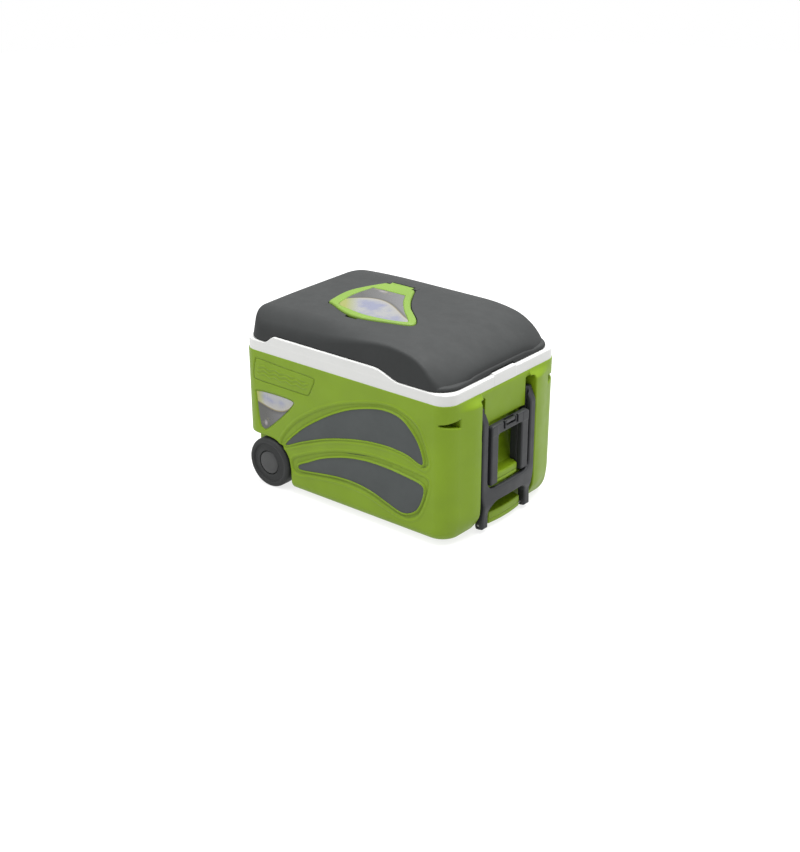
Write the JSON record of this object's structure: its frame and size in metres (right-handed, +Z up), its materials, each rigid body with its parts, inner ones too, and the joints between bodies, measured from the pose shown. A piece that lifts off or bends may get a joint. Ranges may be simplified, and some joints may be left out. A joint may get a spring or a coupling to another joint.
{
  "type": "wheeled cooler",
  "caption": "Wheeled ice chest with a bonnet-shaped hinged lid, a small access hatch in it, and a swing-out tow handle whose push-button grip telescopes.",
  "frame": {"origin": "middle of the footprint of the whole object, on the floor it stands on", "axes": "+X along the chest's length, from the wheels towards the tow handle; +Y towards the lid's hinges, so the labelled front faces -Y; +Z up"},
  "size_m": [0.6216, 0.4214, 0.4426],
  "materials": {
    "green_plastic": "satin",
    "hatch_green_plastic": "satin",
    "lid_grey_plastic": "satin",
    "inlay_grey_plastic": "satin",
    "frame_grey_plastic": "satin",
    "wheel_grey_plastic": "satin",
    "white_plastic": "satin",
    "insulation_foam": "matte",
    "printed_label": "gloss",
    "zinc_steel": "satin"
  },
  "bodies": {
    "chest": {"outer_shell": "green_plastic", "foam_core": "insulation_foam", "inner_liner": "white_plastic", "front_upper_inlay": "inlay_grey_plastic", "front_lower_inlay": "inlay_grey_plastic", "rear_upper_inlay": "inlay_grey_plastic", "rear_lower_inlay": "inlay_grey_plastic", "side_label": "printed_label", "wheel_axle": "zinc_steel", "axle_nut_front": "zinc_steel", "axle_nut_rear": "zinc_steel", "lid_hinge_left": "frame_grey_plastic", "lid_hinge_right": "frame_grey_plastic", "lid_hinge_screw_left_a": "zinc_steel", "lid_hinge_screw_left_b": "zinc_steel", "lid_hinge_screw_right_a": "zinc_steel", "lid_hinge_screw_right_b": "zinc_steel", "lid_pin_left": "zinc_steel", "lid_pin_right": "zinc_steel", "tow_pin_front": "zinc_steel", "tow_pin_rear": "zinc_steel"},
    "lid": {"lid_cover": "lid_grey_plastic", "lid_foam": "insulation_foam", "lid_liner": "white_plastic", "hatch_pin": "zinc_steel"},
    "hatch": {"hatch_door": "hatch_green_plastic", "hatch_plug": "white_plastic", "hatch_label": "printed_label"},
    "tow_handle": {"tow_frame": "frame_grey_plastic"},
    "bail": {"grip_bail": "frame_grey_plastic", "grip_back": "frame_grey_plastic", "button_spring": "zinc_steel"},
    "button": {"grip_button": "frame_grey_plastic", "latch_yoke": "frame_grey_plastic"},
    "front_wheel": {"wheel_front": "wheel_grey_plastic", "hub_cap_front": "wheel_grey_plastic"},
    "rear_wheel": {"wheel_rear": "wheel_grey_plastic", "hub_cap_rear": "wheel_grey_plastic"}
  },
  "joints": [
    {"name": "lid_hinge", "type": "hinge", "parent": "chest", "child": "lid", "pos_m": [-0.01075, 0.2065, 0.3555], "axis": [-1, 0, 0], "range_deg": [0, 100]},
    {"name": "hatch_hinge", "type": "hinge", "parent": "lid", "child": "hatch", "pos_m": [-0.09875, 0.1215, 0.4375], "axis": [-1, 0, 0], "range_deg": [0, 100]},
    {"name": "wheel_front_spin", "type": "hinge", "parent": "chest", "child": "front_wheel", "pos_m": [-0.23525, -0.19, 0.061], "axis": [0, 1, 0], "continuous": true},
    {"name": "wheel_rear_spin", "type": "hinge", "parent": "chest", "child": "rear_wheel", "pos_m": [-0.23525, 0.19, 0.061], "axis": [0, 1, 0], "continuous": true},
    {"name": "tow_swing", "type": "hinge", "parent": "chest", "child": "tow_handle", "pos_m": [0.28775, 0, 0.0165], "axis": [0, 1, 0], "range_deg": [0, 65]},
    {"name": "bail_slide", "type": "slide", "parent": "tow_handle", "child": "bail", "axis": [0, 0, 1], "range_m": [0, 0.14]},
    {"name": "button_slide", "type": "slide", "parent": "bail", "child": "button", "axis": [0, 0, -1], "range_m": [0, 0.003], "stiffness_N_per_m": 400, "springref_m": -0.003, "deforming": ["button_spring"]}
  ]
}
